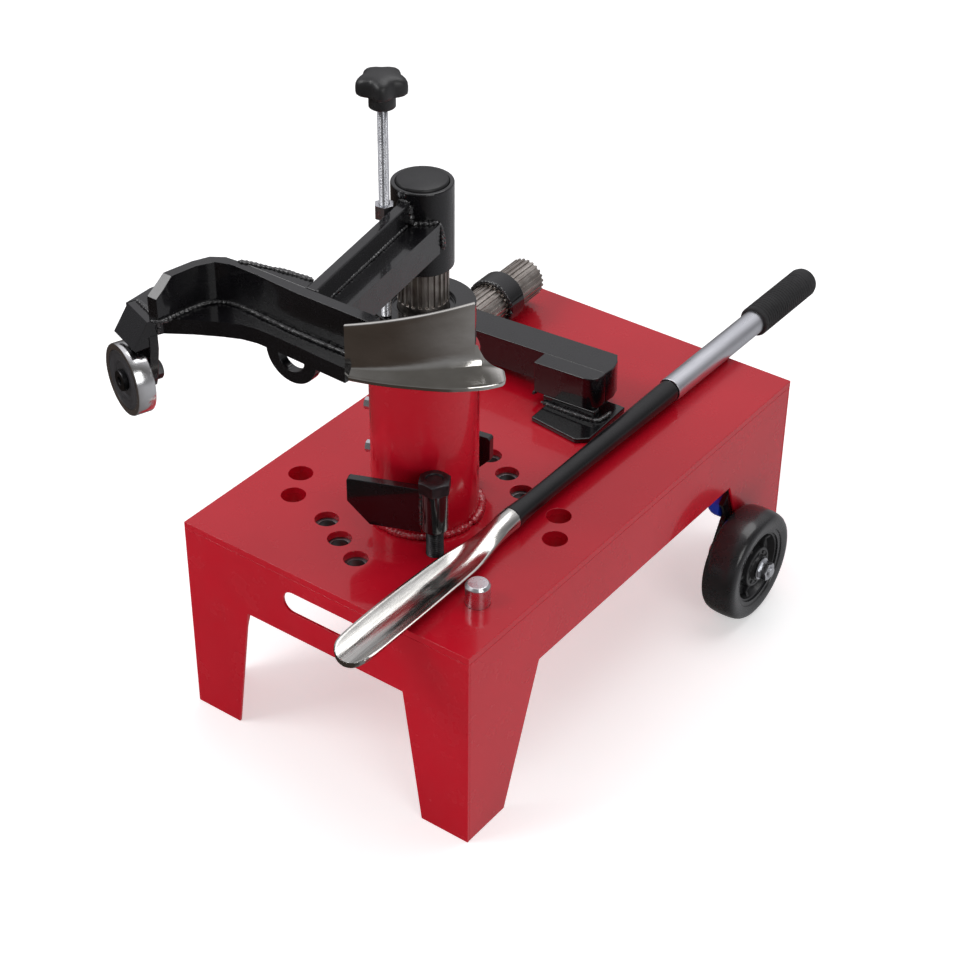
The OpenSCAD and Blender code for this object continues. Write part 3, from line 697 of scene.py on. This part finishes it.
# ---------------------------------------------------------------- lever bar
PX_, PY_, PZ_ = 93.0, -118.0, T + 14.05
WT = [(4, 12), (-12, 13.2), (-30, 15.8), (-60, 19.6), (-85, 21.4), (-110, 22.4), (-145, 23.1), (-180, 23.4), (-205, 23.3), (-225, 23.0), (-240, 22.4), (-247, 21.4), (-252.5, 19.4), (-256.6, 16.4), (-259.6, 12.4), (-261.2, 7.6), (-261.9, 1.5)]
ys = np.unique(np.r_[np.linspace(4, -225, 70), np.linspace(-225, -248, 14), np.linspace(-248, -261.9, 26)])[::-1]
wy = np.interp(-ys, [-w_[0] for w_ in WT], [w_[1] for w_ in WT])
rings = []
us = np.linspace(-1, 1, 33)
for y, w_ in zip(ys, wy):
    t = min(1.0, max(0.0, (4 - y) / 92.0)); t = t * t * (3 - 2 * t)
    top, bot = [], []
    for u in us:
        xc = 12.3 * math.sin(u * math.pi / 2)
        zc = 12.3 * math.cos(u * math.pi / 2)
        x = w_ * u * (1 - 0.03 * abs(u))
        lip = 2.6 * max(0.0, (abs(u) - 0.86) / 0.14) ** 2
        ridge = 4.2 * math.exp(-(x / 6.5) ** 2) * max(0.0, 1 - (4 - y) / 150.0)
        zt = 39.4 - math.sqrt(32.6 ** 2 - x * x) - lip + ridge
        zb = 32.0 - math.sqrt(31.6 ** 2 - x * x) + 0.35 * lip
        top.append(((1 - t) * xc + t * x, y, (1 - t) * (14.05 + zc) + t * zt))
        bot.append(((1 - t) * xc + t * x, y, (1 - t) * (14.05 - zc) + t * zb))
    ring = top + bot[::-1][1:-1]
    rings.append(np.array(ring))
V, F = loft(rings)
put("lever_spoon", V + np.array((PX_, PY_, T)), F, POL, "pry_bar", ("pry_spoon",), angle=60)
prof = [(0, 0.3), (11.6, 0.3), (12.3, 1.2), (11.9, 7), (11.35, 14), (10.9, 24), (10.6, 34), (10.4, 60), (10.6, 100), (11, 140), (11.55, 185), (12.2, 230), (12.75, 268), (12.95, 285), (12.5, 296), (12.3, 302), (0, 302)]
V, F = revolve(prof, 96)
put("lever_shaft", xf(V, (PX_, -114, PZ_), (0, 1, 0), (1, 0, 0)), F, BLKB, "pry_bar", ("pry_shaft",))
refine("pry_tube", ZTUBE, 0.8, 3)
refine("pry_grip", GRIPM, 0.4, 2)

# ---------------------------------------------------------------- extension
for n in ("acc_bar", "acc_block", "acc_web", "acc_foot", "acc_ring"):
    refine(n, BLK, 1.2, 3)
refine("acc_stub", SPL, 0.35, 1)
ct, st = math.cos(math.radians(2.5)), math.sin(math.radians(2.5))


def af_(x, y, z):
    return np.array((x * ct - y * st - 154, x * st + y * ct + 128, z + 268.6))


parts = []
for k, (path, r) in enumerate((
    ([(140, -44, -24.2), (172, -44.2, -24.0), (206, -43, -23.6), (212, -36, -23.4), (214, -20, -23.2)], 3.0),
    ([(128, -43, -18), (127.2, -32, -19), (127.4, -21, -19)], 2.2),
    ([(-10, 21.5, 2), (0, 21.8, 17.5), (12, 21.6, 4)], 2.4))):
    parts.append(bead([af_(*q) for q in smooth_path(path, 6)], r, 81 + k, 1.3, 12, 0.85))
th = np.linspace(0, 2 * math.pi, 60)
parts.append(bead([af_(27.5 * math.cos(t), 65.5, 27.5 * math.sin(t)) for t in th], 2.4, 91, 1.5, 12, 0.9, (0, 1, 0)))
parts.append(bead([af_(26.2 * math.cos(t), 91.6, 26.2 * math.sin(t)) for t in th], 2.2, 92, 1.5, 12, 0.9, (0, 1, 0)))
V, F = joinm(parts)
put("extension_welds", V, F, BWELD, "extension", ())

# ---------------------------------------------------------------- camera
R = np.array([0.804741824551481, 0.5935754215867437, 0.0076690746294941076])
U = np.array([-0.3482772585502428, 0.4616372798938666, 0.8158394284348602])
FW = np.array([-0.48072190192904746, 0.6592110744672842, -0.5782276474758087])
C = np.array([3.0139635364394746, -4.243601694978542, 4.231858771228818]) * 0.36 + OFF / 1000.0
cd = bpy.data.cameras.new("camera")
cd.sensor_width = 36.0
cd.lens = 2129.7142415096746 * 36.0 / 960.0
cd.clip_end = 50
cam = bpy.data.objects.new("camera", cd)
bpy.context.scene.collection.objects.link(cam)
M = Matrix.Identity(4)
for i in range(3):
    M[i][0], M[i][1], M[i][2], M[i][3] = R[i], U[i], -FW[i], C[i]
cam.matrix_world = M
bpy.context.scene.camera = cam

# ---------------------------------------------------------------- floor and light
def floor():
    n = 2
    V = [(-6, -6, 0), (6, -6, 0), (6, 6, 0), (-6, 6, 0)]
    me = bpy.data.meshes.new("studio_floor")
    me.from_pydata(V, [], [(0, 1, 2, 3)])
    ob = bpy.data.objects.new("studio_floor", me)
    bpy.context.scene.collection.objects.link(ob)
    m, nt, b = new_mat("pale_floor")
    v = tex_coord(nt)
    nt.links.new(ramp(nt, noise(nt, v, 1.5, 2), [(0.3, (0.90, 0.90, 0.90, 1)), (0.7, (0.92, 0.92, 0.92, 1))]), b.inputs["Base Color"])
    b.inputs["Roughness"].default_value = 0.9
    b.inputs["Specular IOR Level"].default_value = 0.1
    b.inputs["Emission Color"].default_value = (1, 1, 1, 1)
    b.inputs["Emission Strength"].default_value = 0.48
    me.materials.append(m)
    ob.visible_glossy = False


floor()


def area(name, loc, target, size, power, size_y=None, color=(1, 1, 1)):
    ld = bpy.data.lights.new(name, "AREA")
    ld.shape = "RECTANGLE"
    ld.size = size
    ld.size_y = size_y or size
    ld.energy = power
    ld.color = color
    ob = bpy.data.objects.new(name, ld)
    bpy.context.scene.collection.objects.link(ob)
    ob.location = loc
    d = Vector(target) - Vector(loc)
    ob.rotation_euler = d.to_track_quat("-Z", "Y").to_euler()
    return ob


area("key", (-1.9, -2.2, 3.0), (0, 0, 0.3), 1.8, 42, 1.4)
area("fill", (2.8, -1.4, 2.0), (0, 0, 0.3), 1.6, 23, 1.8)
area("top", (0.2, 0.9, 3.4), (0, 0, 0.2), 2.4, 31, 2.0)
w = bpy.data.worlds.new("studio")
bpy.context.scene.world = w
w.use_nodes = True
nt = w.node_tree
bg = nt.nodes["Background"]
tc = nt.nodes.new("ShaderNodeTexCoord")
sx = nt.nodes.new("ShaderNodeSeparateXYZ")
nt.links.new(tc.outputs["Generated"], sx.inputs["Vector"])


def wmap(fac, a, b, lo, hi):
    m = nt.nodes.new("ShaderNodeMapRange")
    m.interpolation_type = "SMOOTHSTEP"
    m.inputs["From Min"].default_value = a
    m.inputs["From Max"].default_value = b
    m.inputs["To Min"].default_value = lo
    m.inputs["To Max"].default_value = hi
    nt.links.new(fac, m.inputs["Value"])
    return m.outputs["Result"]


ad = nt.nodes.new("ShaderNodeMath")
ad.operation = "ADD"
nt.links.new(sx.outputs["X"], ad.inputs[0])
nt.links.new(sx.outputs["Y"], ad.inputs[1])
low = nt.nodes.new("ShaderNodeMix")
low.data_type = "RGBA"
nt.links.new(wmap(ad.outputs[0], -0.5, 1.3, 0.0, 1.0), low.inputs[0])
low.inputs[6].default_value = (0.075, 0.060, 0.052, 1)
low.inputs[7].default_value = (0.62, 0.62, 0.64, 1)
df = nt.nodes.new("ShaderNodeMath")
df.operation = "SUBTRACT"
nt.links.new(sx.outputs["Y"], df.inputs[0])
nt.links.new(sx.outputs["X"], df.inputs[1])
back = nt.nodes.new("ShaderNodeMix")
back.data_type = "RGBA"
nt.links.new(wmap(df.outputs[0], -0.75, 0.55, 0.0, 1.0), back.inputs[0])
back.inputs[6].default_value = (0.16, 0.155, 0.15, 1)
back.inputs[7].default_value = (1.12, 1.11, 1.15, 1)
up = nt.nodes.new("ShaderNodeMix")
up.data_type = "RGBA"
nt.links.new(wmap(sx.outputs["Z"], 0.0, 0.75, 0.0, 1.0), up.inputs[0])
up.inputs[6].default_value = (0.30, 0.30, 0.31, 1)
nt.links.new(back.outputs[2], up.inputs[7])
mx = nt.nodes.new("ShaderNodeMix")
mx.data_type = "RGBA"
nt.links.new(wmap(sx.outputs["Z"], -0.12, 0.10, 0.0, 1.0), mx.inputs[0])
nt.links.new(low.outputs[2], mx.inputs[6])
nt.links.new(up.outputs[2], mx.inputs[7])
nt.links.new(mx.outputs[2], bg.inputs["Color"])
bg.inputs["Strength"].default_value = 0.66
sc = bpy.context.scene
sc.view_settings.view_transform = "Standard"
sc.view_settings.look = "None"
sc.view_settings.exposure = 0.0
